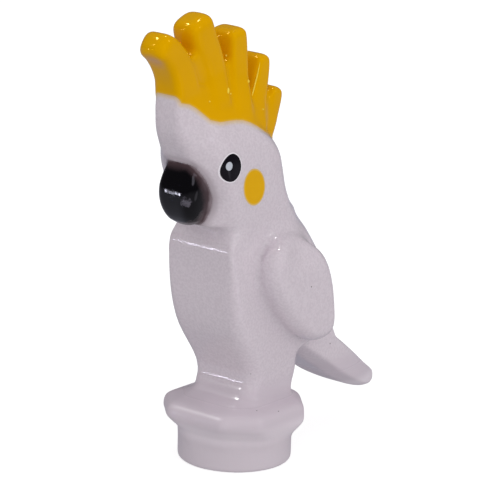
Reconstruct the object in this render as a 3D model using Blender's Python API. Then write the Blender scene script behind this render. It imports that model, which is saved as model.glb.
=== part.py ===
"""A small moulded plastic cockatoo, a building-toy bird with a raised fan crest.

It stands on a socket tube, faces -Y and keeps its left side towards +X. Z = 0 is the
rim of the tube. Lengths are in millimetres, measured from the axis of the tube, and one
empty carries every piece so that the origin ends up under the middle of the bird.
"""
import math

import bmesh
import bpy

MM = 0.001
GAP = 0.2  # parting between neighbouring pieces
PRINT_GAP = 0.1  # round the eyes and cheek spots, which are inlaid
FOOT_AT_Y = -2.0  # the tube's axis, seen from the origin

# Foot: a socket tube that fits over one stud, and the eight-sided collar that grows out of it
TUBE_RADIUS = 3.25
SOCKET_RADIUS = 2.44
SOCKET_DEPTH = 2.2
TUBE_HEIGHT = 1.2
TUBE_STEPS = 44
COLLAR_SLOPE = 0.08  # how much its underside drops for each millimetre towards the tail
COLLAR_HALF = 3.62
COLLAR_FORWARD = 0.15  # how far its middle lies in front of the tube's axis
COLLAR_FACE_HALF = 1.98
COLLAR_EDGE = 0.7
COLLAR_TOP = 3.7
NECK_BOTTOM = 4.45

# Widths, each from the middle plane
WEB_HALF = 0.76
WING_INNER = 2.74
WING_OUTER = 3.86
WING_ROUNDING = 0.8
WING_THINS = (11.2, 13.7)  # Z from where it thins upwards into the shoulder, and to where
WING_THINNEST = 0.22

# Painted or printed pieces
EYE_AT = (-3.68, 18.09)
EYE_SIZE = (1.36, 1.54)
CHEEK_AT = (-1.81, 16.7)
CHEEK_SIZE = (1.83, 2.05)
PRINT_BACK = 1.55  # X of the inner face of the inlays

WHITE = (0.86, 0.84, 0.86, 1.0)
YELLOW = (0.9, 0.56, 0.01, 1.0)
BLACK = (0.012, 0.012, 0.013, 1.0)

# Levels of trunk and head, seen from above, each mirrored about the middle plane:
# z, front, back, half width, half width of the front face, length of the slant behind it,
# half width of the back face, length of the slant before it, and the radii of the front
# edges, of the sides and of the back edges
TRUNK_LEVELS = [
    (4.45, -1.34, 2.72, 2.20, 1.76, 0.50, 1.90, 0.30, 0.9, 0.9, 0.7),
    (5.30, -1.20, 2.95, 2.32, 1.86, 0.50, 1.90, 0.40, 0.9, 0.9, 0.7),
    (6.30, -1.64, 3.15, 2.44, 1.97, 0.52, 1.90, 0.50, 0.9, 0.9, 0.7),
    (7.15, -2.20, 5.90, 2.50, 2.04, 0.50, 1.90, 0.50, 0.9, 0.9, 0.7),
    (8.30, -2.84, 6.22, 2.54, 2.10, 0.46, 1.90, 0.50, 0.9, 0.9, 0.8),
    (10.0, -3.24, 5.85, 2.52, 2.22, 0.30, 1.80, 0.60, 0.6, 0.6, 1.0),
    (12.3, -3.44, 4.72, 2.40, 2.28, 0.12, 1.40, 1.00, 0.2, 0.4, 1.2),
    (13.3, -3.50, 4.18, 2.28, 2.18, 0.10, 1.20, 1.30, 0.1, 0.4, 1.2),
    (13.7, -3.38, 3.85, 2.28, 2.12, 0.16, 1.10, 1.40, 0.1, 0.4, 1.2),
    (14.25, -2.90, 3.42, 2.32, 1.80, 0.50, 1.10, 1.40, 0.4, 0.6, 1.2),
]
HEAD_LEVELS = [
    (14.45, -4.30, 3.25, 2.34, 1.00, 1.30, 1.10, 1.40, 0.6, 1.2, 1.2),
    (15.00, -4.30, 2.88, 2.38, 1.10, 1.15, 1.10, 1.35, 0.6, 1.1, 1.2),
    (16.00, -4.30, 2.36, 2.42, 1.20, 0.80, 1.10, 1.30, 0.6, 1.0, 1.2),
    (17.20, -4.80, 2.03, 2.44, 1.15, 0.70, 1.10, 1.30, 0.6, 0.9, 1.2),
    (18.20, -5.38, 1.68, 2.43, 1.02, 1.10, 1.05, 1.25, 0.7, 1.1, 1.2),
    (19.20, -6.02, 1.08, 2.22, 0.96, 1.70, 0.90, 1.40, 0.8, 1.8, 1.8),
    (20.10, -6.48, 0.20, 1.84, 0.92, 2.20, 0.80, 1.50, 0.6, 1.8, 1.6),
    (21.00, -6.60, -1.00, 1.36, 0.90, 2.00, 0.70, 1.20, 0.4, 1.2, 1.3),
    (21.80, -6.62, -2.40, 1.04, 0.88, 1.00, 0.70, 0.80, 0.3, 0.6, 0.8),
    (22.60, -6.62, -4.60, 0.92, 0.86, 0.30, 0.70, 0.30, 0.3, 0.3, 0.3),
]
HEAD_BOTTOM = 14.45
HEAD_TOP = 22.6
TRUNK_TOP = HEAD_BOTTOM - GAP

# The plumes, front to back, from root to tip: y and z of the middle line, half the
# thickness and half the width, which flares into the crown
PLUMES = [
    [(-5.50, 21.30, 0.98, 0.80), (-5.64, 22.20, 0.98, 0.97), (-5.82, 23.10, 0.92, 0.94),
     (-6.28, 24.00, 0.86, 0.92), (-6.92, 24.74, 0.80, 0.92), (-7.42, 25.10, 0.76, 0.92)],
    [(-3.15, 20.20, 0.84, 1.30), (-3.18, 21.30, 0.84, 1.34), (-3.27, 22.80, 0.84, 1.00),
     (-3.62, 24.00, 0.90, 0.92), (-4.16, 24.95, 0.96, 0.92), (-4.48, 25.80, 0.92, 0.92)],
    [(-1.60, 19.50, 0.78, 1.60), (-1.51, 20.60, 0.78, 1.54), (-1.43, 22.30, 0.76, 1.06),
     (-1.36, 23.60, 0.72, 0.92), (-1.40, 24.40, 0.68, 0.92), (-1.46, 24.88, 0.66, 0.92)],
    [(-0.55, 18.90, 0.72, 1.60), (-0.17, 19.85, 0.72, 1.48), (0.30, 21.10, 0.68, 1.06),
     (0.55, 21.90, 0.64, 0.94), (0.71, 22.60, 0.58, 0.92), (0.79, 23.10, 0.51, 0.92)],
    [(0.05, 18.00, 0.68, 1.20), (0.58, 18.80, 0.68, 1.24), (1.22, 19.60, 0.64, 1.10),
     (1.62, 20.20, 0.60, 0.96), (1.87, 20.70, 0.56, 0.92), (1.99, 21.08, 0.52, 0.92)],
]
PLUME_TIPS = (0.62, 0.55, 0.40, 0.38, 0.36)  # how far each one's rounded end stands out
PLUME_EDGES = (0.38, 0.42, 0.26, 0.24, 0.24)  # and how round its long edges are

# Side outlines, (y, z): the top of the web between the plumes, and the edge of the paint
WEB_TOP = [(-6.3, 22.9), (-5.15, 24.3), (-4.5, 24.0), (-2.5, 23.6), (-2.1, 22.2), (-0.75, 21.3),
           (0.6, 20.7), (1.3, 20.2)]
PAINT_EDGE = [(1.7, 18.5), (-0.13, 19.39), (-0.9, 19.86), (-1.5, 20.17), (-2.0, 20.36), (-2.55, 20.46),
              (-3.84, 20.55), (-4.52, 20.76), (-4.9, 21.12), (-5.38, 21.52), (-5.8, 21.77), (-6.35, 21.92),
              (-6.6, 22.28), (-7.2, 22.45)]
SIDE_VIEW_TOP = [(-9.0, 22.5), (-9.0, 30.0), (4.0, 30.0), (4.0, 18.2)]  # closes the painted outline

# Beak levels, all rounded: z, front, back, half width
BEAK_LEVELS = [
    (14.66, -4.98, -4.30, 0.55),
    (14.85, -5.32, -4.12, 0.84),
    (15.3, -5.72, -4.00, 1.06),
    (16.0, -5.98, -3.90, 1.24),
    (16.8, -5.98, -3.82, 1.32),
    (17.5, -5.80, -4.05, 1.22),
    (18.0, -5.68, -4.60, 1.03),
    (18.22, -5.62, -4.90, 0.90),
]

# Tail levels along the bird: y, top, bottom, half width
TAIL_LEVELS = [
    (3.0, 8.40, 6.60, 2.12),
    (5.3, 7.60, 5.10, 2.10),
    (6.15, 7.10, 4.55, 2.08),
    (6.5, 6.25, 4.30, 2.05),
    (7.4, 5.58, 3.70, 1.97),
    (9.0, 4.44, 2.84, 1.72),
    (10.3, 3.55, 2.24, 1.36),
    (11.4, 2.90, 1.88, 0.98),
    (12.1, 2.50, 1.88, 0.65),
]
TAIL_KEEL = 0.55

# Side outline of a wing as control points (y, z), from the shoulder down and round
WING_OUTLINE = [(-0.75, 13.1), (-1.42, 12.0), (-1.05, 10.35), (0.42, 8.45), (2.25, 7.08), (3.6, 6.88),
                (4.36, 7.3), (4.45, 8.6), (4.13, 10.6), (3.05, 12.5), (1.0, 13.6)]


def clear_scene():
    for obj in list(bpy.data.objects):
        bpy.data.objects.remove(obj, do_unlink=True)


def plastic(name, colour, roughness=0.18):
    material = bpy.data.materials.new(name)
    material.use_nodes = True
    shader = material.node_tree.nodes["Principled BSDF"]
    shader.inputs["Base Color"].default_value = colour
    shader.inputs["Roughness"].default_value = roughness
    shader.inputs["Metallic"].default_value = 0.0
    return material


def add_object(name, solid, stand, colour, smooth_angle=35.0):
    """Turn a bmesh in millimetres into a named object in metres with its own material."""
    bmesh.ops.recalc_face_normals(solid, faces=solid.faces[:])
    bmesh.ops.scale(solid, vec=(MM, MM, MM), verts=solid.verts[:])
    mesh = bpy.data.meshes.new(name)
    solid.to_mesh(mesh)
    solid.free()
    mesh.shade_smooth()
    mesh.set_sharp_from_angle(angle=math.radians(smooth_angle))
    mesh.materials.append(plastic(name + "_abs", colour))
    obj = bpy.data.objects.new(name, mesh)
    obj.parent = stand
    bpy.context.scene.collection.objects.link(obj)
    return obj


def add_guide(name, solid, stand):
    """A cutter: it shows as wire and isn't part of the model."""
    guide = add_object(name, solid, stand, WHITE)
    guide.hide_render = True
    guide.display_type = "WIRE"
    return guide


def boolean(target, guide, operation):
    modifier = target.modifiers.new(operation.lower() + "_" + guide.name, "BOOLEAN")
    modifier.object = guide
    modifier.operation = operation
    modifier.solver = "EXACT"


def spline(stations, position):
    """Catmull-Rom value at a position, on rows whose first column is the position."""
    index = 0
    while index < len(stations) - 2 and position > stations[index + 1][0]:
        index += 1
    start = stations[index]
    end = stations[index + 1]
    before = stations[max(index - 1, 0)]
    after = stations[min(index + 2, len(stations) - 1)]
    span = end[0] - start[0]
    t = min(max((position - start[0]) / span, 0.0), 1.0)
    values = []
    for column in range(1, len(start)):
        slope_in = (end[column] - before[column]) / (end[0] - before[0])
        slope_out = (after[column] - start[column]) / (after[0] - start[0])
        values.append(
            (2 * t ** 3 - 3 * t ** 2 + 1) * start[column]
            + (t ** 3 - 2 * t ** 2 + t) * span * slope_in
            + (3 * t ** 2 - 2 * t ** 3) * end[column]
            + (t ** 3 - t ** 2) * span * slope_out
        )
    return values


def closed_spline(points, per_span):
    """A smooth closed outline through control points."""
    count = len(points)
    outline = []
    for index in range(count):
        rows = [(offset,) + points[(index + offset) % count] for offset in (-1, 0, 1, 2)]
        for step in range(per_span):
            outline.append(tuple(spline(rows, step / per_span)))
    return outline


def rounded_outline(corners, arc_points=4):
    """Points of a closed polygon whose corners (x, y, radius) are turned into arcs."""
    points = []
    count = len(corners)
    for index, (x, y, radius) in enumerate(corners):
        px, py, _ = corners[index - 1]
        nx, ny, _ = corners[(index + 1) % count]
        to_previous = math.hypot(px - x, py - y)
        to_next = math.hypot(nx - x, ny - y)
        ux, uy = (px - x) / to_previous, (py - y) / to_previous
        vx, vy = (nx - x) / to_next, (ny - y) / to_next
        half_angle = math.acos(max(-1.0, min(1.0, ux * vx + uy * vy))) / 2
        reach = min(radius / math.tan(half_angle), 0.48 * to_previous, 0.48 * to_next)
        radius = reach * math.tan(half_angle)
        to_centre = radius / math.sin(half_angle) / math.hypot(ux + vx, uy + vy)
        cx = x + (ux + vx) * to_centre
        cy = y + (uy + vy) * to_centre
        start = math.atan2(y + uy * reach - cy, x + ux * reach - cx)
        end = math.atan2(y + vy * reach - cy, x + vx * reach - cx)
        sweep = (end - start + math.pi) % (2 * math.pi) - math.pi
        for step in range(arc_points):
            turn = start + sweep * step / (arc_points - 1)
            points.append((cx + radius * math.cos(turn), cy + radius * math.sin(turn)))
    return points


def loft(rings):
    """A closed body through rings of equal length, capped at both ends."""
    solid = bmesh.new()
    loops = [[solid.verts.new(point) for point in ring] for ring in rings]
    count = len(loops[0])
    for lower, upper in zip(loops, loops[1:]):
        for index in range(count):
            following = (index + 1) % count
            solid.faces.new((lower[index], lower[following], upper[following], upper[index]))
    solid.faces.new(loops[0][::-1])
    solid.faces.new(loops[-1])
    return solid


def spread(low, high, count):
    return [low + (high - low) * step / (count - 1) for step in range(count)]


def section(z, level, grow=0.0):
    """One level of the body: eight rounded corners, symmetric about the middle plane."""
    front, back, half, face, slant, back_face, back_slant, edge, side_edge, back_edge = level
    front -= grow
    back += grow
    half += grow
    face += 0.4 * grow
    back_face += 0.4 * grow
    half_outline = [
        (face, front, edge),
        (half, front + slant, side_edge),
        (half, back - back_slant, back_edge),
        (back_face, back, back_edge),
    ]
    mirrored = [(-x, y, radius) for x, y, radius in reversed(half_outline)]
    return [(x, y, z) for x, y in rounded_outline(half_outline + mirrored)]


def body_loft(levels, bottom, top, count, grow=0.0):
    heights = spread(bottom - grow, top + grow, count)
    return loft([section(z, spline(levels, z), grow) for z in heights])


def make_foot_tube(stand):
    """Open at both ends: the socket goes on into the collar."""
    rim = 0.12
    profile = [
        (SOCKET_RADIUS, rim),
        (SOCKET_RADIUS + rim, 0.0),
        (TUBE_RADIUS - rim, 0.0),
        (TUBE_RADIUS, rim),
        (TUBE_RADIUS, TUBE_HEIGHT),
        (SOCKET_RADIUS, TUBE_HEIGHT),
    ]
    solid = bmesh.new()
    verts = [solid.verts.new((radius, 0.0, z)) for radius, z in profile]
    edges = [solid.edges.new((verts[index - 1], verts[index])) for index in range(len(verts))]
    bmesh.ops.spin(solid, geom=verts + edges, cent=(0, 0, 0), axis=(0, 0, 1),
                   angle=2 * math.pi, steps=TUBE_STEPS, use_merge=True)
    bmesh.ops.remove_doubles(solid, verts=solid.verts[:], dist=0.0001)
    add_object("foot_tube", solid, stand, WHITE)


def make_foot_collar(stand):
    """Eight sides that swell out of the tube and sweep up into the foot of the trunk."""
    neck = spline(TRUNK_LEVELS, NECK_BOTTOM)
    round_face = TUBE_RADIUS * math.tan(math.radians(22.5))
    round_slant = TUBE_RADIUS - round_face
    tube = (-TUBE_RADIUS, TUBE_RADIUS, TUBE_RADIUS, round_face, round_slant, round_face, round_slant)
    tube += 3 * (2.4,)

    def mixed(first, second, part):
        return [a + (b - a) * part for a, b in zip(first, second)]

    def outline(inset):
        half = COLLAR_HALF - inset
        face = COLLAR_FACE_HALF - 0.42 * inset
        front = -half - COLLAR_FORWARD
        back = half - COLLAR_FORWARD
        return (front, back, half, face, half - face, face, half - face) + 3 * (COLLAR_EDGE,)

    def lower_ring(z, part):
        """part goes from 0, the outline of the tube, to 1, the full collar."""
        return [(x, y, z - COLLAR_SLOPE * y) for x, y, z in section(z, mixed(tube, outline(0.0), part))]

    def upper_ring(z, inset, part):
        """part goes from 0, the collar's outline, to 1, the outline of the neck."""
        return section(z, mixed(outline(inset), neck, part))

    rings = [
        section(TUBE_HEIGHT + GAP, tube),
        lower_ring(1.70, 0.0),
        lower_ring(2.12, 0.52),
        lower_ring(2.42, 0.88),
        lower_ring(2.64, 1.0),
        upper_ring(COLLAR_TOP - 0.5, 0.03, 0.0),
        upper_ring(COLLAR_TOP - 0.25, 0.15, 0.0),
        upper_ring(COLLAR_TOP - 0.1, 0.35, 0.05),
        upper_ring(COLLAR_TOP, 0.6, 0.2),
        upper_ring(COLLAR_TOP + 0.1, 0.8, 0.45),
        upper_ring(COLLAR_TOP + 0.3, 1.0, 0.75),
        upper_ring(NECK_BOTTOM - GAP, 1.1, 0.92),
    ]
    collar = add_object("foot_collar", loft(rings), stand, WHITE)
    turns = [2 * math.pi * step / TUBE_STEPS for step in range(TUBE_STEPS)]
    circle = [(SOCKET_RADIUS * math.cos(turn), SOCKET_RADIUS * math.sin(turn)) for turn in turns]
    socket = loft([[(x, y, z) for x, y in circle] for z in (TUBE_HEIGHT, SOCKET_DEPTH)])
    boolean(collar, add_guide("socket_guide", socket, stand), "DIFFERENCE")


def make_wing(stand, name, side):
    """A thick leaf with a rounded outer edge, thinning into the shoulder at its top."""
    outline = closed_spline(WING_OUTLINE, 3)
    middle_y = sum(y for y, z in outline) / len(outline)
    middle_z = sum(z for y, z in outline) / len(outline)
    levels = [(WING_INNER, 0.0, 1.0)]
    for degrees in (0, 30, 60, 80):
        turn = math.radians(degrees)
        reach = WING_OUTER - WING_ROUNDING * (1 - math.sin(turn))
        levels.append((reach, WING_ROUNDING * (1 - math.cos(turn)), 1.0))
    for part in (0.75, 0.5, 0.2):
        levels.append((WING_OUTER, WING_ROUNDING, part))
    rings = []
    for x, inset, part in levels:
        ring = []
        for y, z in outline:
            shrink = part * (1 - inset / math.hypot(y - middle_y, z - middle_z))
            ring_y = middle_y + (y - middle_y) * shrink
            ring_z = middle_z + (z - middle_z) * shrink
            rise = min(max((ring_z - WING_THINS[0]) / (WING_THINS[1] - WING_THINS[0]), 0.0), 1.0)
            towards_back = min(max((ring_y + 0.6) / 1.8, 0.0), 1.0)
            thinned = 1 - (1 - WING_THINNEST) * rise ** 2 * (3 - 2 * rise) * towards_back
            ring.append((side * (WING_INNER + (x - WING_INNER) * thinned), ring_y, ring_z))
        rings.append(ring)
    add_object(name, loft(rings), stand, WHITE)


def make_tail(stand, trunk_room):
    """A flat spade with a full belly, sloping down and back out of the trunk."""
    rings = []
    for y in spread(TAIL_LEVELS[0][0], TAIL_LEVELS[-1][0], 16):
        top, bottom, half = spline(TAIL_LEVELS, y)
        keel = bottom - TAIL_KEEL * half / TAIL_LEVELS[0][3]
        corners = [
            (-half, top, 0.25),
            (-half, bottom, 0.2),
            (-0.55 * half, keel, 0.8),
            (0.55 * half, keel, 0.8),
            (half, bottom, 0.2),
            (half, top, 0.25),
        ]
        rings.append([(x, y, z) for x, z in rounded_outline(corners, arc_points=4)])
    tail = add_object("tail", loft(rings), stand, WHITE)
    boolean(tail, trunk_room, "DIFFERENCE")


def beak_loft(grow=0.0):
    rings = []
    for z in spread(BEAK_LEVELS[0][0] - grow, BEAK_LEVELS[-1][0] + grow, 12):
        front, back, half = spline(BEAK_LEVELS, z)
        front -= grow
        back += grow
        half += grow
        half_outline = [(0.74 * half, front, 0.5), (half, front + 0.6, 0.9), (1.02 * half, back, 0.3)]
        mirrored = [(-x, y, radius) for x, y, radius in reversed(half_outline)]
        rings.append([(x, y, z) for x, y in rounded_outline(half_outline + mirrored)])
    return loft(rings)


def plume_point(path, position, forward, across_by):
    """A point beside the middle line of a plume, and how far to go along and across it."""
    stations = [(float(index),) + row for index, row in enumerate(path)]
    y, z = spline(stations, position)[:2]
    y0, z0 = spline(stations, max(position - 0.05, 0.0))[:2]
    y1, z1 = spline(stations, min(position + 0.05, stations[-1][0]))[:2]
    length = math.hypot(y1 - y0, z1 - z0)
    ay, az = (y1 - y0) / length, (z1 - z0) / length
    return y + ay * forward - az * across_by, z + az * forward + ay * across_by


def plume_loft(path, tip, edge):
    """A finger with soft edges and a rounded end."""
    stations = [(float(index),) + row for index, row in enumerate(path)]
    last = stations[-1][0]
    levels = [(position, 0.0) + tuple(spline(stations, position)[2:]) for position in spread(0.0, last, 10)]
    for degrees in (25, 50, 75):
        turn = math.radians(degrees)
        drop = tip * (1 - math.cos(turn))
        levels.append((last, tip * math.sin(turn), path[-1][2] - drop, path[-1][3] - drop))
    rings = []
    for position, forward, thickness, half in levels:
        corners = [
            (-half, -thickness, edge),
            (half, -thickness, edge),
            (half, thickness, edge),
            (-half, thickness, edge),
        ]
        rings.append([(x,) + plume_point(path, position, forward, across)
                      for x, across in rounded_outline(corners, arc_points=4)])
    return loft(rings)


def prism(outline, half_width):
    """A (y, z) outline pushed out to both sides of the middle plane."""
    return loft([[(-half_width, y, z) for y, z in outline], [(half_width, y, z) for y, z in outline]])


def make_crest(stand):
    """Crown, web and plumes, one moulding, down to the edge of the paint."""
    crest = add_object("crest", body_loft(HEAD_LEVELS, 17.0, HEAD_TOP, 15), stand, YELLOW)
    web_outline = WEB_TOP + [(y, z - 0.5) for y, z in PAINT_EDGE[:-1]]
    boolean(crest, add_guide("web_guide", prism(web_outline, WEB_HALF), stand), "UNION")
    for index, (path, tip, edge) in enumerate(zip(PLUMES, PLUME_TIPS, PLUME_EDGES)):
        plume = add_guide("plume_guide_%d" % (index + 1), plume_loft(path, tip, edge), stand)
        boolean(crest, plume, "UNION")
    above_paint = add_guide("paint_guide", prism(PAINT_EDGE + SIDE_VIEW_TOP, 4.0), stand)
    boolean(crest, above_paint, "INTERSECT")


def make_inlay(stand, name, side, centre, size, colour, head, whole_head):
    """An oval plug set into the side of the head, its face following the head's own."""
    def oval(low, high, spare):
        rings = []
        for x in (low, high):
            ring = []
            for step in range(28):
                turn = 2 * math.pi * step / 28
                ring.append((side * x, centre[0] + math.cos(turn) * (size[0] / 2 + spare),
                             centre[1] + math.sin(turn) * (size[1] / 2 + spare)))
            rings.append(ring)
        return loft(rings)

    plug = add_object(name, oval(PRINT_BACK, 3.0, 0.0), stand, colour)
    boolean(plug, whole_head, "INTERSECT")
    pocket = add_guide(name + "_pocket", oval(PRINT_BACK - PRINT_GAP, 3.2, PRINT_GAP), stand)
    boolean(head, pocket, "DIFFERENCE")


def build():
    clear_scene()
    stand = bpy.data.objects.new("stand", None)
    stand.location = (0.0, FOOT_AT_Y * MM, 0.0)
    bpy.context.scene.collection.objects.link(stand)

    make_foot_tube(stand)
    make_foot_collar(stand)
    trunk = (TRUNK_LEVELS, NECK_BOTTOM, TRUNK_TOP, 18)
    add_object("trunk", body_loft(*trunk), stand, WHITE)
    make_tail(stand, add_guide("trunk_room", body_loft(*trunk, grow=GAP), stand))
    make_wing(stand, "wing_left", 1)
    make_wing(stand, "wing_right", -1)

    head_shape = (HEAD_LEVELS, HEAD_BOTTOM, HEAD_TOP, 20)
    head = add_object("head", body_loft(*head_shape), stand, WHITE)
    crest_room = [(y, z - GAP) for y, z in PAINT_EDGE + SIDE_VIEW_TOP]
    boolean(head, add_guide("crest_room", prism(crest_room, 4.0), stand), "DIFFERENCE")
    add_object("beak", beak_loft(), stand, BLACK)
    boolean(head, add_guide("beak_room", beak_loft(GAP), stand), "DIFFERENCE")
    whole_head = add_guide("whole_head", body_loft(*head_shape), stand)
    for side, label in ((1, "left"), (-1, "right")):
        make_inlay(stand, "eye_" + label, side, EYE_AT, EYE_SIZE, BLACK, head, whole_head)
        make_inlay(stand, "cheek_" + label, side, CHEEK_AT, CHEEK_SIZE, YELLOW, head, whole_head)
    make_crest(stand)


build()
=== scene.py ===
"""A small moulded plastic cockatoo from a building toy: a glossy white bird on a socket foot.

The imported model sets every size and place. One white skin stands for the white nodes, and
the paint and the prints lie on it as thin coats of their own. The bird is worked on in
millimetres, and MM turns them to metres; the studio round it is in metres. Places on the
bird are measured from the foot's axis, and FOOT_Y is where that stands in the frame.
"""

import math

import bmesh
import bpy
from mathutils import Matrix, Vector
from mathutils.kdtree import KDTree


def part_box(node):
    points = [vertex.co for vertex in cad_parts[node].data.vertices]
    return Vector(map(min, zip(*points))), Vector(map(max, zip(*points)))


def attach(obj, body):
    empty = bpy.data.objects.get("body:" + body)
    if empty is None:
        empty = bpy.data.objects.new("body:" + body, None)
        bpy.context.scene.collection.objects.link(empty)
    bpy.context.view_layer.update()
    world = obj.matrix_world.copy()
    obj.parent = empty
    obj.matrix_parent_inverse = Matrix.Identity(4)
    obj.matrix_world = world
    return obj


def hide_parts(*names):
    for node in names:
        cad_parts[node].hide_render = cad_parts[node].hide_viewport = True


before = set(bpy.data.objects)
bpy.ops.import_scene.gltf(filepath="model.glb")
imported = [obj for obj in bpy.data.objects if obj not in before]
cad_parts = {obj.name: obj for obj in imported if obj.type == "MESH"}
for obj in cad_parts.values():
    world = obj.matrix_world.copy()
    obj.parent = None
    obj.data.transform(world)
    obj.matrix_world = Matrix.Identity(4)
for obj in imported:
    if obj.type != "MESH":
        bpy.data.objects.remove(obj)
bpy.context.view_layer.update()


# --- The body moulding ---------------------------------------------------------------
# One shot of white ABS: bird, collar and foot socket come out of the mould in one piece,
# so no seam shows. The skin is cast from the nodes, with the partings between them closed.

MM = 0.001
WHITE_NODES = ("foot_tube", "foot_collar", "trunk", "tail", "wing_left", "wing_right", "head")
COATED_NODES = ("crest", "beak", "eye_left", "eye_right", "cheek_left", "cheek_right")
STACKED_NODES = ("foot_tube", "foot_collar", "trunk")  # each carries the next on its level top
FOOT_Y = sum(corner.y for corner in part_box("foot_tube")) / 2 / MM
WELD = 0.0005  # points nearer than this are one point
LEVEL = 0.001  # a face this near a node's highest point is part of its level top
DRAWN_UP = 0.3  # how far such a top goes up into the next node
VOXEL = 0.1  # the skin's mesh width
CLOSING = 0.13  # the skin grows and shrinks by this, so gaps up to twice as wide are filled

# Where one form runs softly into the next: the place, its reach on each axis, and how many
# times the smoothing goes over it. Both sides of the bird get the same.
SOFT_PLACES = (
    ((0.0, -2.0, 21.0), (2.6, 6.5, 2.8), 8),  # crown
    ((0.9, -3.2, 14.25), (2.1, 1.7, 1.3), 110),  # throat, where head and breast meet
    ((0.0, -4.5, 25.8), (2.6, 4.5, 2.2), 12),  # tips of the front plumes
    ((3.0, 1.6, 13.4), (1.7, 2.6, 1.6), 240),  # top of the wing, which runs into the shoulder
    ((1.2, 2.6, 14.6), (2.4, 1.9, 0.9), 40),  # back of the neck
    ((0.6, -3.5, 3.45), (2.4, 1.0, 0.8), 30),  # front rim of the collar
    ((1.3, 0.2, 20.55), (1.3, 1.9, 0.9), 80),  # low ends of the rear grooves between plumes
)


def node_copies(names):
    """The nodes' own surfaces in one bmesh, in millimetres, the stacked ones drawn up to meet."""
    copies = bmesh.new()
    for name in names:
        one = bmesh.new()
        one.from_mesh(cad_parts[name].data)
        bmesh.ops.scale(one, vec=(1 / MM,) * 3, verts=one.verts[:])
        bmesh.ops.remove_doubles(one, verts=one.verts[:], dist=WELD)
        if name in STACKED_NODES:
            top = max(vert.co.z for vert in one.verts)
            lid = [face for face in one.faces if all(vert.co.z > top - LEVEL for vert in face.verts)]
            drawn = bmesh.ops.extrude_face_region(one, geom=lid)
            raised = [item for item in drawn["geom"] if isinstance(item, bmesh.types.BMVert)]
            bmesh.ops.translate(one, vec=(0, 0, DRAWN_UP), verts=raised)
            bmesh.ops.delete(one, geom=lid, context="FACES")
        part = bpy.data.meshes.new(name)
        one.to_mesh(part)
        one.free()
        copies.from_mesh(part)
        bpy.data.meshes.remove(part)
    return copies


def object_from(name, solid):
    """An object that holds a bmesh; the bmesh is freed."""
    mesh = bpy.data.meshes.new(name)
    solid.to_mesh(mesh)
    solid.free()
    obj = bpy.data.objects.new(name, mesh)
    bpy.context.scene.collection.objects.link(obj)
    return obj


def add_modifier(obj, kind, **settings):
    modifier = obj.modifiers.new(kind.lower(), kind)
    for name, value in settings.items():
        setattr(modifier, name, value)


def apply_modifiers(obj):
    """Turns the object's modifiers into its mesh."""
    graph = bpy.context.evaluated_depsgraph_get()
    graph.update()
    shaped = bpy.data.meshes.new_from_object(obj.evaluated_get(graph))
    obj.modifiers.clear()
    obj.data = shaped
    return obj


def cast_skin(name, solid, passes):
    """One closed skin round all the bodies in a bmesh, its gaps filled, then smoothed."""
    obj = object_from(name, solid)
    add_modifier(obj, "REMESH", mode="VOXEL", voxel_size=VOXEL)
    add_modifier(obj, "DISPLACE", mid_level=0.0, strength=CLOSING)
    add_modifier(obj, "REMESH", mode="VOXEL", voxel_size=VOXEL)
    add_modifier(obj, "DISPLACE", mid_level=0.0, strength=-CLOSING)
    add_modifier(obj, "SMOOTH", factor=0.5, iterations=passes)
    return apply_modifiers(obj)


def soften(obj, centre, reach, passes):
    """Smooths round a place on both sides: fully in the inner half of its reach, less beyond."""
    group = obj.vertex_groups.new(name="soft")
    for vert in obj.data.vertices:
        away = Vector((
            (abs(vert.co.x) - centre[0]) / reach[0],
            (vert.co.y - FOOT_Y - centre[1]) / reach[1],
            (vert.co.z - centre[2]) / reach[2],
        )).length
        if away < 1:
            group.add([vert.index], min(1.0, 2 - 2 * away), "REPLACE")
    add_modifier(obj, "SMOOTH", factor=0.5, iterations=passes, vertex_group="soft")
    apply_modifiers(obj)
    obj.vertex_groups.clear()


moulding = cast_skin("moulding", node_copies(WHITE_NODES + COATED_NODES), passes=6)
for centre, reach, passes in SOFT_PLACES:
    soften(moulding, centre, reach, passes)


# --- The crest's coat ----------------------------------------------------------------
# Yellow lacquer sprayed over the fan of plumes and the crown below it, through a mask that
# leaves a wavy edge. It thins out to a paler line there, and under the front plume's tip.

COAT = 0.012  # thickness of sprayed lacquer
PAINT_LINE = [(2.2, 18.2), (-0.13, 19.39), (-0.9, 19.86), (-1.5, 20.17), (-2.0, 20.36), (-2.55, 20.46),
              (-3.84, 20.55), (-4.52, 20.76), (-4.9, 21.12), (-5.38, 21.52), (-5.8, 21.77), (-6.35, 21.92),
              (-6.6, 22.3), (-6.9, 22.48)]
ABOVE_PAINT_LINE = [(-9.5, 22.5), (-9.5, 30.0), (5.0, 30.0), (5.0, 18.2)]  # well clear of the crest
BESIDE_BIRD = 4.0  # out past the bird's widest place, on either side
BARE_AT = (-7.75, 24.2)  # under the front plume's tip, where little spray reached
BARE_SIZE = (0.2 * MM, 0.8 * MM)  # distances from it where the lacquer starts and where it is full
SPRAY_EDGE = (-0.03, 0.12)  # the same along the mask's edge
SPRAY_CLOUDS = 1.4
SPRAY_FLOW = (1.1, 0.012)  # width and height of its waves
SPRAY_GRAIN = (0.16, 0.0008)  # the same of its grain, drawn as coarse as it needs to show
CREASE = math.radians(50)  # edges sharper than this stay sharp


def side_cutter(name, outline, half_width):
    """A side outline, (y, z) from the foot's axis, pushed out to both sides as a closed body."""
    solid = bmesh.new()
    verts = [solid.verts.new((-half_width, y + FOOT_Y, z)) for y, z in outline]
    pushed = bmesh.ops.extrude_face_region(solid, geom=[solid.faces.new(verts)])
    moved = [item for item in pushed["geom"] if isinstance(item, bmesh.types.BMVert)]
    bmesh.ops.translate(solid, vec=(2 * half_width, 0, 0), verts=moved)
    bmesh.ops.recalc_face_normals(solid, faces=solid.faces[:])
    return object_from(name, solid)


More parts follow.
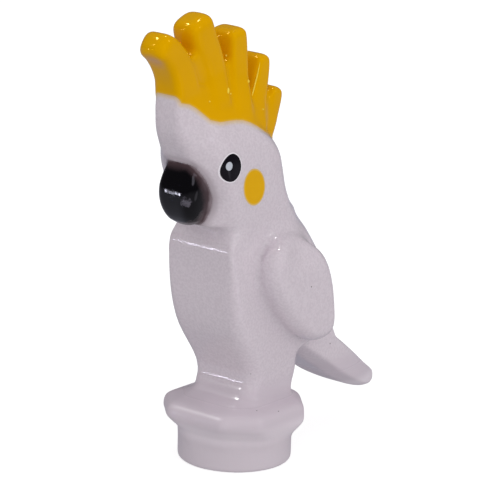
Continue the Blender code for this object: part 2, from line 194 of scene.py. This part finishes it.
def mark_distance(obj, name, places):
    """Gives each point an attribute: how far it is from the nearest of some places."""
    tree = KDTree(len(places))
    for index, place in enumerate(places):
        tree.insert(place, index)
    tree.balance()
    distances = obj.data.attributes.new(name, "FLOAT", "POINT")
    for vert in obj.data.vertices:
        distances.data[vert.index].value = tree.find(vert.co)[2]


def cut_copy(name, source, cutter, operation):
    """A cut copy of a piece, whose from_edge attribute tells how far each point is from the cut."""
    obj = bpy.data.objects.new(name, source.data.copy())
    bpy.context.scene.collection.objects.link(obj)
    marks = [bpy.data.materials.new("kept"), bpy.data.materials.new("cut")]
    for data in (obj.data, cutter.data):
        data.materials.clear()
        for mark in marks:
            data.materials.append(mark)
    for face in cutter.data.polygons:
        face.material_index = 1
    add_modifier(obj, "BOOLEAN", object=cutter, operation=operation, solver="EXACT")
    apply_modifiers(obj)
    kinds = [set() for vert in obj.data.vertices]
    for face in obj.data.polygons:
        for index in face.vertices:
            kinds[index].add(face.material_index)
    mark_distance(obj, "from_edge", [vert.co for vert in obj.data.vertices if len(kinds[vert.index]) == 2])
    for mark in marks:
        bpy.data.materials.remove(mark)
    return obj


def swell(obj, distance):
    add_modifier(obj, "DISPLACE", mid_level=0.0, strength=distance)
    return apply_modifiers(obj)


def linear(hex_colour):
    """An sRGB hex value as linear red, green, blue and alpha."""
    channels = [int(hex_colour[index:index + 2], 16) / 255 for index in (1, 3, 5)]
    return [c / 12.92 if c <= 0.04045 else ((c + 0.055) / 1.055) ** 2.4 for c in channels] + [1.0]


def add_node(tree, kind, output, **settings):
    """Adds a node and gives one of its outputs.

    A setting is one of the node's properties or inputs. An input gets a number, an sRGB hex
    colour, or another node's output, which is linked to it.
    """
    node = tree.nodes.new("ShaderNode" + kind)
    for name, value in settings.items():
        if hasattr(node, name):
            setattr(node, name, value)
            continue
        names = (name, name.replace("_", " "))
        socket = next(socket for socket in node.inputs if socket.identifier in names)
        if isinstance(value, bpy.types.NodeSocket):
            tree.links.new(value, socket)
        else:
            socket.default_value = linear(value) if isinstance(value, str) else value
    return next(socket for socket in node.outputs if socket.identifier == output)


def new_material(name, roughness, ior):
    material = bpy.data.materials.new(name)
    material.use_nodes = True
    shader = material.node_tree.nodes["Principled BSDF"]
    shader.inputs["Roughness"].default_value = roughness
    shader.inputs["IOR"].default_value = ior
    return material, material.node_tree, shader


def fading(tree, value, span, first, second):
    """From the first colour to the second, as a value goes over a span."""
    share = add_node(tree, "MapRange", "Result", interpolation_type="SMOOTHSTEP",
                     Value=value, From_Min=span[0], From_Max=span[1])
    return add_node(tree, "Mix", "Result_Color", data_type="RGBA",
                    Factor_Float=share, A_Color=first, B_Color=second)


def clouded(tree, size, first, second):
    """Two colours that run into each other in clouds of about a size."""
    clouds = add_node(tree, "TexNoise", "Fac", Vector=add_node(tree, "TexCoord", "Object"),
                      Scale=1 / (size * MM))
    return add_node(tree, "Mix", "Result_Color", data_type="RGBA",
                    Factor_Float=clouds, A_Color=first, B_Color=second)


def distance_from(tree, point, shares=(1, 1, 1)):
    """How far the surface is from a point, where each axis counts for its share."""
    place = add_node(tree, "TexCoord", "Object")
    counted = add_node(tree, "VectorMath", "Vector", operation="MULTIPLY", Vector=place, Vector_001=shares)
    centre = [along * share for along, share in zip(point, shares)]
    return add_node(tree, "VectorMath", "Value", operation="DISTANCE", Vector=counted, Vector_001=centre)


def surface_waves(tree, shader, sizes):
    """Bump from noise: pairs of lump size and height, the widest first."""
    place = add_node(tree, "TexCoord", "Object")
    under = {}
    for size, height in sizes:
        lumps = add_node(tree, "TexNoise", "Fac", Vector=place, Scale=1 / (size * MM), Detail=1.0)
        normal = add_node(tree, "Bump", "Normal", Height=lumps, Strength=1.0, Distance=height * MM, **under)
        under = {"Normal": normal}
    tree.links.new(normal, shader.inputs["Normal"])


def finish_piece(obj, material, slot, *nodes):
    """Back to metres, smooth, with its material; it rides on the bird in place of its nodes."""
    obj.data.transform(Matrix.Scale(MM, 4))
    obj.data.shade_smooth()
    obj.data.set_sharp_from_angle(angle=CREASE)
    obj.data.materials.clear()
    obj.data.materials.append(material)
    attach(obj, "root")
    if nodes:
        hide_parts(*nodes)


above_line = side_cutter("above_line", PAINT_LINE + ABOVE_PAINT_LINE, BESIDE_BIRD)
crest_coat = swell(cut_copy("crest_coat", moulding, above_line, "INTERSECT"), COAT)
body_moulding = cut_copy("body_moulding", moulding, above_line, "DIFFERENCE")
bpy.data.objects.remove(above_line)

# Golden yellow lacquer, sprayed on and glossy, with soft waves and a fine grain. Its
# highlights are tinted yellow, and where it is thin it looks paler and less golden.
yellow_lacquer, tree, shader = new_material("yellow_lacquer", roughness=0.13, ior=1.5)
shader.inputs["Specular Tint"].default_value = linear("#F0C020")
sprayed = clouded(tree, SPRAY_CLOUDS, "#E4A800", "#EBAE00")
from_edge = add_node(tree, "Attribute", "Fac", attribute_name="from_edge")
sprayed = fading(tree, from_edge, SPRAY_EDGE, "#E6B848", sprayed)
from_bare = distance_from(tree, (0, (BARE_AT[0] + FOOT_Y) * MM, BARE_AT[1] * MM))
sprayed = fading(tree, from_bare, BARE_SIZE, "#DDA350", sprayed)
tree.links.new(sprayed, shader.inputs["Base Color"])
surface_waves(tree, shader, [SPRAY_FLOW, SPRAY_GRAIN])
finish_piece(crest_coat, yellow_lacquer, "yellow_paint", "crest")


# --- Painted glints on the crest -----------------------------------------------------
# Thin beads of lacquer, paler than the coat, that paint highlights on: a long one down
# the front edge of the fourth plume, and short ones at the ends of the grooves, where glints fall.

BEAD_CLOUDS = 0.3
BEAD_SIDES = 8
BEAD_STEPS = 4  # rings to each stretch between two points
BEAD_END = 0.15  # thickness of its ends, as a share of its middle
BEADS = (  # radius, and points that it follows
    (0.042, [(0.85, 0.36, 23.11), (0.86, 0.16, 22.47), (0.86, -0.09, 21.83), (0.9, -0.25, 21.53),
             (0.95, -0.43, 21.27)]),
    (0.085, [(1.11, -2.7, 22.22), (1.15, -2.75, 22.04), (1.17, -2.79, 21.86)]),
    (0.055, [(1.16, -2.54, 21.9), (1.17, -2.53, 21.8)]),
    (0.07, [(1.07, -0.91, 22.36), (1.09, -0.9, 22.16)]),
    (0.055, [(1.11, -4.27, 21.74), (1.12, -4.25, 21.64)]),
    (0.06, [(1.24, 0.24, 20.56), (1.26, 0.22, 20.46)]),
    (0.06, [(0.41, -2.09, 23.86), (0.45, -2.1, 23.74)]),
)


def add_bead(solid, radius, path, side):
    """A round bead along a path, drawn out thin at both ends."""
    points = [Vector((side * x, y + FOOT_Y, z)) for x, y, z in path]
    along = (points[-1] - points[0]).normalized()
    across = along.cross(Vector((0, 1, 0))).normalized()
    facing = Matrix((across, along.cross(across), along)).transposed().to_4x4()
    steps = BEAD_STEPS * (len(points) - 1)
    rings = []
    for step in range(steps + 1):
        start = min(step // BEAD_STEPS, len(points) - 2)
        middle = Matrix.Translation(points[start].lerp(points[start + 1], step / BEAD_STEPS - start))
        thickness = max(BEAD_END, 1 - (2 * step / steps - 1) ** 4)
        ring = bmesh.ops.create_circle(solid, segments=BEAD_SIDES, radius=radius * thickness,
                                       cap_ends=step in (0, steps), matrix=middle @ facing)
        rings.append(dict.fromkeys(edge for vert in ring["verts"] for edge in vert.link_edges))
    for ring, after in zip(rings, rings[1:]):
        bmesh.ops.bridge_loops(solid, edges=[*ring, *after])


beads = bmesh.new()
for side in (1, -1):
    for radius, path in BEADS:
        add_bead(beads, radius, path, side)
bmesh.ops.recalc_face_normals(beads, faces=beads.faces[:])

# The same lacquer, much paler and a little shinier: its colour is a painted highlight.
painted_glint_lacquer, tree, shader = new_material("painted_glint_lacquer", roughness=0.1, ior=1.5)
tree.links.new(clouded(tree, BEAD_CLOUDS, "#FFDC40", "#FFE458"), shader.inputs["Base Color"])
finish_piece(object_from("painted_glint_beads", beads), painted_glint_lacquer, "yellow_paint")


# --- The beak's coat -----------------------------------------------------------------
# Black lacquer sprayed on the beak. It is thick and glossy in front, and thin and brown
# towards the head, where the white plastic shows through. A grey patch on the tip is a painted reflection.

BEAK_MARGIN = 0.12  # the coat's edge lies this far outside the beak's own node
BROWN_BORDER = (-0.02, 0.22)  # distances from that edge over which the grey-brown darkens
BLACK_BORDER = (0.15, 0.75)  # and over which the brown turns black
BORDER_STRAYS = 0.08  # how far these borders stray to either side
BORDER_LUMPS = 1.2
TIP = ((FOOT_Y - 5.9) * MM, (FOOT_Y - 5.0) * MM)  # the spray gets thicker from the second to the first
TIP_THICKER = 0.25  # there it is as thick as it is elsewhere so much further from the edge
# painted reflection: a mottled grey patch on the tip, its place, size, wander and lumps
REFLECTION_PATCH_AT = (0.96 * MM, (FOOT_Y - 5.88) * MM, 16.25 * MM)  # on the tip's left
REFLECTION_PATCH_SIZE = (0.2 * MM, 0.45 * MM)
REFLECTION_PATCH_STRAYS = 0.2 * MM
REFLECTION_PATCH_LUMPS = 0.2
NOISE_SPAN = (0.3, 0.7)  # noise seldom leaves these values
BEAK_FLOW = (0.9, 0.012)  # width and height of the waves in the lacquer
BEAK_GRAIN = (0.15, 0.0008)  # drawn as coarse as it needs to show


def straying(tree, distance, lumps, low, high):
    """A distance from a line that wanders, moved by between low and high in lumps of a size."""
    noise = add_node(tree, "TexNoise", "Fac", Vector=add_node(tree, "TexCoord", "Object"),
                     Scale=1 / (lumps * MM))
    moved = add_node(tree, "MapRange", "Result", interpolation_type="SMOOTHSTEP", Value=noise,
                     From_Min=NOISE_SPAN[0], From_Max=NOISE_SPAN[1], To_Min=low, To_Max=high)
    return add_node(tree, "Math", "Value", operation="ADD", Value=distance, Value_001=moved)


beak_space = swell(cast_skin("beak_space", node_copies(("beak",)), passes=4), BEAK_MARGIN)
beak_coat = cut_copy("beak_coat", moulding, beak_space, "INTERSECT")
bpy.data.objects.remove(beak_space)
edge_distances = beak_coat.data.attributes["from_edge"].data
beak_edge = [vert.co for vert in beak_coat.data.vertices if edge_distances[vert.index].value == 0]
mark_distance(body_moulding, "from_beak", beak_edge)
swell(beak_coat, COAT)

# Black lacquer with a deep wet gloss, soft waves and a fine grain. Its thin border is brown,
# and a painted reflection of the pale table on the tip is a mottled grey.
black_lacquer, tree, shader = new_material("black_lacquer", roughness=0.07, ior=1.5)
from_edge = add_node(tree, "Attribute", "Fac", attribute_name="from_edge")
covered = straying(tree, from_edge, BORDER_LUMPS, -BORDER_STRAYS, BORDER_STRAYS)
depth = add_node(tree, "SeparateXYZ", "Y", Vector=add_node(tree, "TexCoord", "Object"))
thicker = add_node(tree, "MapRange", "Result", interpolation_type="SMOOTHSTEP",
                   Value=depth, From_Min=TIP[0], From_Max=TIP[1], To_Min=TIP_THICKER, To_Max=0.0)
covered = add_node(tree, "Math", "Value", operation="ADD", Value=covered, Value_001=thicker)
lacquer = fading(tree, covered, BROWN_BORDER, "#8C7E84", "#4C3C40")
lacquer = fading(tree, covered, BLACK_BORDER, lacquer, "#050407")
# painted reflection: the black turns mottled grey round a place on the tip's left
from_reflection_patch = straying(tree, distance_from(tree, REFLECTION_PATCH_AT), REFLECTION_PATCH_LUMPS, 0.0, REFLECTION_PATCH_STRAYS)
lacquer = fading(tree, from_reflection_patch, REFLECTION_PATCH_SIZE, "#5C5862", lacquer)
tree.links.new(lacquer, shader.inputs["Base Color"])
surface_waves(tree, shader, [BEAK_FLOW, BEAK_GRAIN])
finish_piece(beak_coat, black_lacquer, "black_paint", "beak")


# --- Eyes and cheek spots ------------------------------------------------------------
# Pad printed on the sides of the head: a black oval on a slightly larger white underprint,
# with a pale glint in it, and a yellow oval whose edge is a little soft.

EYE_AT = (-3.74, 18.09)
EYE_SIZE = (1.43, 1.54)
EYE_LEAN = 0.05
UNDERPRINT = 0.14  # how much longer and wider than the eye
GLINT_AT = (-3.98, 18.23)
GLINT_SIZE = (0.44, 0.48)
CHEEK_AT = (-1.81, 16.65)
CHEEK_SIZE = (1.86, 2.16)
CHEEK_LEAN = -0.15
CHEEK_EDGE = (0.86, 1.04)  # shares of its radius between which the yellow thins out
INK = 0.008  # thickness of one layer of ink
INK_DEPTH = 0.05  # a print goes this deep into the moulding, so no gap shows under its edge
INK_CLOUDS = 0.2
YELLOW_CLOUDS = 0.5
BLACK_GRAIN = (0.15, 0.0012)  # width and height, drawn as coarse as it needs to show
YELLOW_GRAIN = (0.15, 0.0008)
DISC_RINGS = 12
DISC_SPOKES = 72


def printed_patch(name, side, centre, size, lean, layer):
    """An oval of ink on the side of the head: a disc laid on the moulding's surface.

    lean says how far back its top leans for its height. The from_middle attribute runs from
    0 in the middle to 1 at the edge.
    """
    disc = bmesh.new()
    spoke = [disc.verts.new((0, ring / DISC_RINGS / 2, 0)) for ring in range(DISC_RINGS + 1)]
    edges = [disc.edges.new(pair) for pair in zip(spoke, spoke[1:])]
    bmesh.ops.spin(disc, geom=spoke + edges, cent=(0, 0, 0), axis=(1, 0, 0), angle=2 * math.pi,
                   steps=DISC_SPOKES, use_merge=True)
    bmesh.ops.remove_doubles(disc, verts=disc.verts[:], dist=WELD)
    radii = disc.verts.layers.float.new("from_middle")
    for vert in disc.verts:
        vert[radii] = 2 * vert.co.length
    bmesh.ops.scale(disc, vec=(1, size[0], size[1]), verts=disc.verts[:])
    leaning = Matrix(((1, 0, 0), (0, 1, lean), (0, 0, 1))).to_4x4()
    bmesh.ops.transform(disc, matrix=leaning, verts=disc.verts[:])
    beside = (side * BESIDE_BIRD, centre[0] + FOOT_Y, centre[1])
    bmesh.ops.translate(disc, vec=beside, verts=disc.verts[:])
    patch = object_from(name, disc)
    add_modifier(patch, "SHRINKWRAP", target=moulding, wrap_method="PROJECT", use_project_x=True,
                 use_project_y=False, use_project_z=False, use_negative_direction=True,
                 use_positive_direction=True, offset=layer * INK)
    apply_modifiers(patch)
    if sum(face.normal.x for face in patch.data.polygons) * side < 0:
        patch.data.flip_normals()
    add_modifier(patch, "SOLIDIFY", thickness=INK_DEPTH, offset=-1.0)
    return apply_modifiers(patch)


# Black printing ink: an even, near-black film, less shiny than the lacquer.
black_ink, tree, shader = new_material("black_printing_ink", roughness=0.16, ior=1.5)
shader.inputs["Specular IOR Level"].default_value = 0.35
tree.links.new(clouded(tree, INK_CLOUDS, "#0E0A12", "#15111A"), shader.inputs["Base Color"])
surface_waves(tree, shader, [BLACK_GRAIN])

# White printing ink: cooler and brighter than the plastic, it shows as a thin rim.
white_ink, tree, shader = new_material("white_printing_ink", roughness=0.2, ior=1.5)
tree.links.new(clouded(tree, INK_CLOUDS, "#ECE6EE", "#F4EEF4"), shader.inputs["Base Color"])

# Pale grey printing ink, for the glint.
glint_ink, tree, shader = new_material("pale_printing_ink", roughness=0.2, ior=1.5)
tree.links.new(clouded(tree, INK_CLOUDS, "#C0C4CE", "#CACED8"), shader.inputs["Base Color"])

# Yellow printing ink: a thin glossy film, paler at its edge, where the white shows through.
yellow_ink, tree, shader = new_material("yellow_printing_ink", roughness=0.18, ior=1.5)
shader.inputs["Specular Tint"].default_value = linear("#F0C020")
inked = clouded(tree, YELLOW_CLOUDS, "#E6AC04", "#ECB408")
from_middle = add_node(tree, "Attribute", "Fac", attribute_name="from_middle")
tree.links.new(fading(tree, from_middle, CHEEK_EDGE, inked, "#DEC890"), shader.inputs["Base Color"])
surface_waves(tree, shader, [YELLOW_GRAIN])

for side, label in ((1, "left"), (-1, "right")):
    eye = printed_patch("eye_print_" + label, side, EYE_AT, EYE_SIZE, EYE_LEAN, layer=2)
    finish_piece(eye, black_ink, "eye_print", "eye_" + label)
    rim_size = [length + UNDERPRINT for length in EYE_SIZE]
    rim = printed_patch("eye_underprint_" + label, side, EYE_AT, rim_size, EYE_LEAN, layer=1)
    finish_piece(rim, white_ink, "eye_print")
    glint = printed_patch("eye_glint_" + label, side, GLINT_AT, GLINT_SIZE, EYE_LEAN, layer=3)
    finish_piece(glint, glint_ink, "eye_print")
    cheek = printed_patch("cheek_print_" + label, side, CHEEK_AT, CHEEK_SIZE, CHEEK_LEAN, layer=1)
    finish_piece(cheek, yellow_ink, "cheek_print", "cheek_" + label)


# --- The bare plastic ----------------------------------------------------------------
# What no coat covers is the moulding's own white ABS, with the mould's polish on the bird
# and a satin foot. A trace of yellow spray lies along the crest's edge, and a trace of
# black, which looks smoky, along the beak's.

THROAT_AT = (FOOT_Y - 3.22, 14.0)  # the crease under the head, where the polish is dull
THROAT_SIZE = (0.3 * MM, 0.65 * MM)
SATIN_FOOT = (3.3 * MM, 4.2 * MM)  # heights between which satin turns to polish
POLISHED, SATIN, DULL = 0.15, 0.4, 0.45
# Painted shade and light on the foot, by height: the collar is darkened, the taper under it lightened
# against its shade, and the socket below darkened a little again.
FOOT_PAINTED_LIGHT_AND_SHADE = (  # the heights over which each tint ends
    ((4.0 * MM, 5.2 * MM), "#D5C9D3"),
    ((2.3 * MM, 3.0 * MM), "#E6DBE4"),
    ((1.4 * MM, 2.0 * MM), "#D5CAD3"),
)
YELLOW_TRACE = (-0.12, 0.36)  # distances from the crest's coat over which the tint ends
DARK_TRACE = (-0.06, 0.14)  # the same from the beak's coat, close by
SMOKY_TRACE = (0.05, 0.6)  # and further off
CLOUD_SIZE = 4.0
SPECKLE_SIZE = 0.14
SPECKLE_SPAN = (0.35, 0.65)
SPECKLED_SIZE = 0.4  # of the areas that have more or less speckle
SPECKLED_SPAN = (-1.0, 2.0)
DUST_SPACING = 1.6
DUST_SPECK = (0.02, 0.035)  # as shares of the spacing
SINK_WAVES = (2.2, 0.02)  # width and height
MOULD_GRAIN = (0.16, 0.0008)

# White ABS, glossy and a little translucent, lilac grey in the shade, with faint sink waves,
# speckle and grain drawn as coarse as they need to show, and a few specks of dust.
white_abs, tree, shader = new_material("moulded_white_abs", roughness=POLISHED, ior=1.54)
shader.inputs["Subsurface Weight"].default_value = 0.12
shader.inputs["Subsurface Radius"].default_value = (1.0, 0.8, 0.9)
shader.inputs["Subsurface Scale"].default_value = 0.6 * MM
place = add_node(tree, "TexCoord", "Object")
height = add_node(tree, "SeparateXYZ", "Z", Vector=place)

fine = add_node(tree, "TexNoise", "Fac", Vector=place, Scale=1 / (SPECKLE_SIZE * MM))
patchy = add_node(tree, "TexNoise", "Fac", Vector=place, Scale=1 / (SPECKLED_SIZE * MM))
plastic = clouded(tree, CLOUD_SIZE, "#DACFD8", "#DED3DC")
speckle = fading(tree, fine, SPECKLE_SPAN, "#D2C7D0", "#E2D8E0")
plastic = fading(tree, patchy, SPECKLED_SPAN, plastic, speckle)
# the foot's painted shade and light, one band of height after another
for heights, tint in FOOT_PAINTED_LIGHT_AND_SHADE:
    plastic = fading(tree, height, heights, tint, plastic)

from_edge = add_node(tree, "Attribute", "Fac", attribute_name="from_edge")
plastic = fading(tree, from_edge, YELLOW_TRACE, "#E6C078", plastic)
from_beak = add_node(tree, "Attribute", "Fac", attribute_name="from_beak")
smoky = fading(tree, from_beak, DARK_TRACE, "#7C6E74", "#BEB2BA")
plastic = fading(tree, from_beak, SMOKY_TRACE, smoky, plastic)
specks = add_node(tree, "TexVoronoi", "Distance", Vector=place, Scale=1 / (DUST_SPACING * MM))
plastic = fading(tree, specks, DUST_SPECK, "#6E6668", plastic)
tree.links.new(plastic, shader.inputs["Base Color"])

satin_foot = add_node(tree, "MapRange", "Result", interpolation_type="SMOOTHSTEP", Value=height,
                      From_Min=SATIN_FOOT[0], From_Max=SATIN_FOOT[1], To_Min=SATIN, To_Max=POLISHED)
from_throat = distance_from(tree, (0, THROAT_AT[0] * MM, THROAT_AT[1] * MM), shares=(0, 1, 1))
dull_throat = add_node(tree, "MapRange", "Result", interpolation_type="SMOOTHSTEP", Value=from_throat,
                       From_Min=THROAT_SIZE[0], From_Max=THROAT_SIZE[1], To_Min=DULL, To_Max=POLISHED)
finish = add_node(tree, "Math", "Value", operation="MAXIMUM", Value=satin_foot, Value_001=dull_throat)
tree.links.new(finish, shader.inputs["Roughness"])
surface_waves(tree, shader, [SINK_WAVES, MOULD_GRAIN])
finish_piece(body_moulding, white_abs, "white_abs", *WHITE_NODES)
bpy.data.objects.remove(moulding)


# --- The floor -----------------------------------------------------------------------
# A pale paper sweep. It glows evenly instead of taking the lamps' light, and throws no glare
# of its own back at the bird.

FLOOR_SIZE = 6.0
FLOOR_GLOW = 0.75

plane = bmesh.new()
bmesh.ops.create_grid(plane, x_segments=1, y_segments=1, size=FLOOR_SIZE / 2)
floor = object_from("floor", plane)
floor.visible_diffuse = False
floor.visible_glossy = False

# Matt paper: no gloss at all, only a weak shadow under the bird.
floor_paper, tree, shader = new_material("floor_paper", roughness=0.8, ior=1.4)
shader.inputs["Base Color"].default_value = linear("#B0B0B0")
shader.inputs["Specular IOR Level"].default_value = 0.0
shader.inputs["Emission Color"].default_value = linear("#FFFFFF")
shader.inputs["Emission Strength"].default_value = FLOOR_GLOW
floor.data.materials.append(floor_paper)


# --- The light from all round --------------------------------------------------------
# A white tent round the bird, brighter from above and from the bird's left.

TENT_LEVEL = 0.635
TENT_SLOPE = (0.16, -0.04, 0.23)  # how much brighter it is towards +X, +Y and +Z

world = bpy.data.worlds.new("studio")
bpy.context.scene.world = world
world.use_nodes = True
tree = world.node_tree
background = tree.nodes["Background"]
background.inputs["Color"].default_value = linear("#FFFFFF")
slope = add_node(tree, "VectorMath", "Value", operation="DOT_PRODUCT",
                 Vector=add_node(tree, "TexCoord", "Generated"), Vector_001=TENT_SLOPE)
strength = add_node(tree, "Math", "Value", operation="ADD", Value=slope, Value_001=TENT_LEVEL)
tree.links.new(strength, background.inputs["Strength"])


# --- The room in the gloss -----------------------------------------------------------
# A round wall that only shows in reflections: a dim room over a pale table, a panel on the
# bird's left, three small windows low in front of it, and a bright place on the table.

ROOM_RADIUS = 2.5
ROOM_LEVEL = 1.0
TABLE_WIDTH = (-1.5, 1.5)  # the table's tint changes from one side to the other
HORIZON = (-0.5, 0.1)  # heights between which table turns to wall
FULL_BRIGHT = 0.8  # the share of a bright place's reach that is evenly bright
BRIGHT_PLACES = (  # direction, reach, brightness, and how much height counts: less is taller
    ((0.93, -0.14, 0.34), 0.35, 18, 1.0),  # panel
    ((-0.64, -0.76, -0.09), 0.03, 110, 0.26),  # windows
    ((-0.603, -0.79, -0.1), 0.028, 120, 0.24),
    ((-0.56, -0.82, -0.11), 0.055, 130, 0.42),
    ((0.92, 0.27, -0.27), 0.5, 2, 1.0),  # table
)

ball = bmesh.new()
bmesh.ops.create_uvsphere(ball, u_segments=48, v_segments=24, radius=ROOM_RADIUS)
bmesh.ops.reverse_faces(ball, faces=ball.faces[:])
room = object_from("room", ball)
room.data.shade_smooth()
room.visible_camera = False
room.visible_diffuse = False
room.visible_transmission = False
room.visible_shadow = False

# Matt walls that are seen by their own glow.
room_walls, tree, shader = new_material("room_walls", roughness=1.0, ior=1.4)
shader.inputs["Base Color"].default_value = linear("#000000")
shader.inputs["Specular IOR Level"].default_value = 0.0
place = add_node(tree, "TexCoord", "Object")
width = add_node(tree, "SeparateXYZ", "X", Vector=place)
height = add_node(tree, "SeparateXYZ", "Z", Vector=place)
table = fading(tree, width, TABLE_WIDTH, "#A0A0AE", "#85838B")
tree.links.new(fading(tree, height, HORIZON, table, "#4A484E"), shader.inputs["Emission Color"])
glow = ROOM_LEVEL
for direction, reach, brightness, height_counts in BRIGHT_PLACES:
    middle = Vector(direction).normalized() * ROOM_RADIUS
    away = distance_from(tree, middle, shares=(1, 1, height_counts))
    spot = add_node(tree, "MapRange", "Result", interpolation_type="SMOOTHSTEP", Value=away,
                    From_Min=FULL_BRIGHT * reach, From_Max=reach, To_Min=brightness, To_Max=0.0)
    glow = add_node(tree, "Math", "Value", operation="ADD", Value=spot, Value_001=glow)
tree.links.new(glow, shader.inputs["Emission Strength"])
room_walls.cycles.emission_sampling = "NONE"  # reflections find it without being aimed at it
room.data.materials.append(room_walls)


# --- The lamps -----------------------------------------------------------------------
# One big softbox on the bird's left lights it and shows in no gloss. The small lamps do the
# opposite: each is only there for its highlight.

LAMP_AIM = Vector((0, 0, 13 * MM))
SMALL_LAMP_DISTANCE = 0.6
SMALL_LAMPS = (  # name, direction, size, radiance
    ("front_left_lamp", (-0.5, -0.65, 0.57), 0.05, 40),
    ("upper_left_lamp", (-0.46, -0.33, 0.82), 0.08, 70),
    ("upper_right_lamp", (0.81, 0.33, 0.48), 0.06, 16),
    ("top_lamp", (0.0, 0.26, 0.97), 0.05, 60),
)


def add_lamp(name, direction, distance, size, radiance):
    """A square soft lamp aimed at the bird; radiance is what a mirror would show of it."""
    light = bpy.data.lights.new(name, "AREA")
    light.size = size
    light.energy = radiance * math.pi * size ** 2
    lamp = bpy.data.objects.new(name, light)
    bpy.context.scene.collection.objects.link(lamp)
    towards = Vector(direction).normalized()
    lamp.location = LAMP_AIM + towards * distance
    lamp.rotation_euler = towards.to_track_quat("Z", "Y").to_euler()
    return lamp


softbox = add_lamp("side_softbox", (0.85, -0.45, 0.2), distance=0.7, size=0.45, radiance=1.05)
softbox.visible_glossy = False
for name, direction, size, radiance in SMALL_LAMPS:
    small_lamp = add_lamp(name, direction, SMALL_LAMP_DISTANCE, size, radiance)
    small_lamp.visible_diffuse = False


# --- The camera ----------------------------------------------------------------------
# A long lens 20 cm away, a little above the bird and in front of its left side.

CAMERA_AIM = Vector((0, -1.2 * MM, 12 * MM))
CAMERA_DISTANCE = 200 * MM
AZIMUTH = math.radians(39)
ELEVATION = math.radians(15.89)
ROLL = math.radians(1.5)
SENSOR_WIDTH = 36
FOCAL_LENGTH = 254.9
SHIFT_RIGHT, SHIFT_UP = 0.0036, 0.0008

towards = Vector((math.sin(AZIMUTH) * math.cos(ELEVATION), -math.cos(AZIMUTH) * math.cos(ELEVATION),
                  math.sin(ELEVATION)))
right = Vector((math.cos(AZIMUTH), math.sin(AZIMUTH), 0))
up = towards.cross(right)
camera = bpy.data.objects.new("camera", bpy.data.cameras.new("camera"))
bpy.context.scene.collection.objects.link(camera)
camera.matrix_world = Matrix.Translation(CAMERA_AIM + towards * CAMERA_DISTANCE) @ Matrix(
    (math.cos(ROLL) * right + math.sin(ROLL) * up, math.cos(ROLL) * up - math.sin(ROLL) * right, towards)
).transposed().to_4x4()
camera.data.sensor_width = SENSOR_WIDTH
camera.data.lens = FOCAL_LENGTH
camera.data.shift_x = SHIFT_RIGHT
camera.data.shift_y = SHIFT_UP
camera.data.clip_start = 0.01
camera.data.clip_end = 10
bpy.context.scene.camera = camera
bpy.context.scene.view_settings.view_transform = "Standard"
